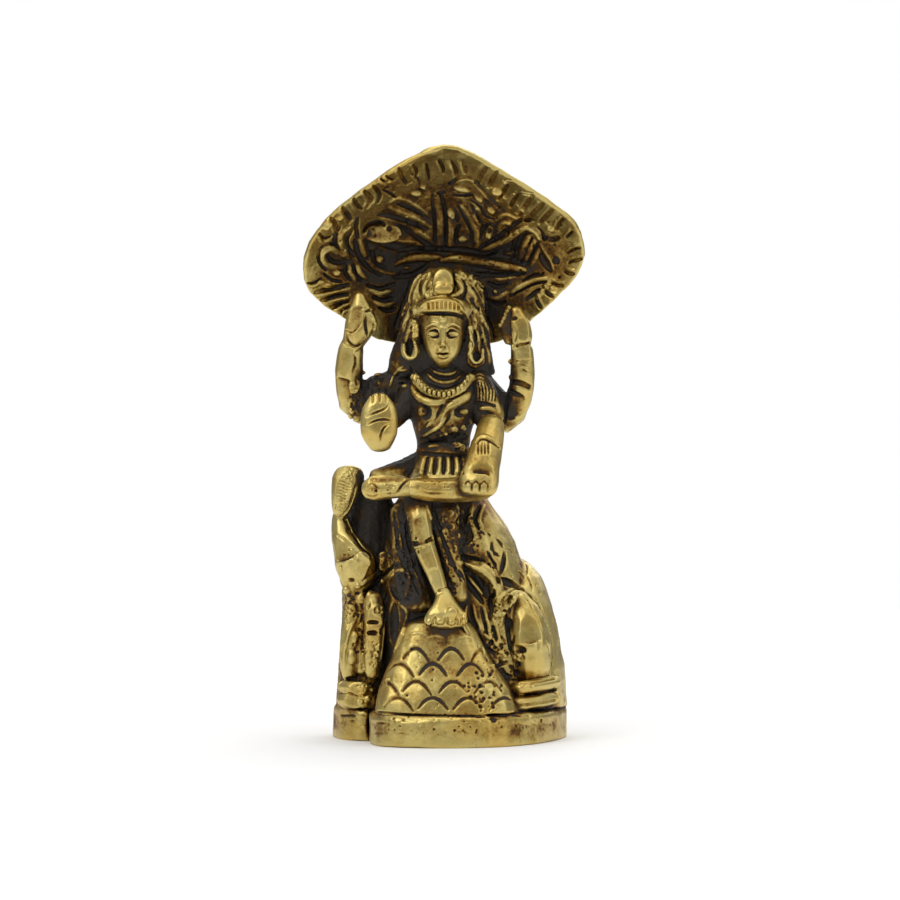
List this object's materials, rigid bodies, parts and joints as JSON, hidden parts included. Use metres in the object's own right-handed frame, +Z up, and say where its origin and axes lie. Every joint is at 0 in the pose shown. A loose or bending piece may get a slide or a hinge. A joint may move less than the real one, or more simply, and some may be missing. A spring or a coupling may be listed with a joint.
{
  "type": "brass statue",
  "caption": "Small cast-brass votive statue: a cross-legged four-armed figure seated on a carved rock under a leaf-lined canopy.",
  "frame": {"origin": "centre of the base, on its flat underside", "axes": "+Z up, the figure faces -Y, +X towards the figure's own left hand"},
  "size_m": [0.0481, 0.0389, 0.1002],
  "materials": {
    "brass_polished": "filed and buffed brass, worn bright on the high places",
    "brass_satin": "as-cast brass, part buffed, brown in the hollows",
    "brass_patinated": "as-cast brass left with a dark brown patina"
  },
  "bodies": {
    "root": {"headband": "brass_polished", "crown_boss": "brass_polished", "earring_right": "brass_satin", "earring_left": "brass_satin", "necklace": "brass_satin", "held_flame": "brass_patinated", "open_palm": "brass_polished", "resting_hand": "brass_polished", "crossed_foot": "brass_polished", "hanging_foot": "brass_polished", "rear_right_hand": "brass_polished", "rear_left_hand": "brass_polished", "crossed_leg": "brass_polished", "hanging_leg": "brass_polished", "front_right_arm": "brass_patinated", "front_left_arm": "brass_satin", "rear_right_arm": "brass_polished", "rear_left_arm": "brass_polished", "head": "brass_polished", "skirt": "brass_satin", "torso": "brass_satin", "hair": "brass_patinated", "leg_drape_right": "brass_patinated", "leg_drape_left": "brass_patinated", "left_animal_upper_paw": "brass_satin", "left_animal_lower_paw": "brass_satin", "left_animal_inner_leg": "brass_satin", "left_animal_outer_leg": "brass_satin", "left_animal_head": "brass_satin", "left_animal_chest": "brass_polished", "left_outcrop": "brass_patinated", "right_animal_upper_paw": "brass_polished", "right_animal_lower_paw": "brass_polished", "right_animal_ear": "brass_patinated", "right_animal_tail": "brass_patinated", "right_animal_haunch": "brass_polished", "scaled_mound": "brass_polished", "seat_ledge": "brass_patinated", "canopy": "brass_satin", "tree_trunk": "brass_patinated", "side_outcrop": "brass_polished", "rock_seat": "brass_satin", "side_plinth": "brass_satin", "front_plinth": "brass_polished"}
  },
  "joints": []
}
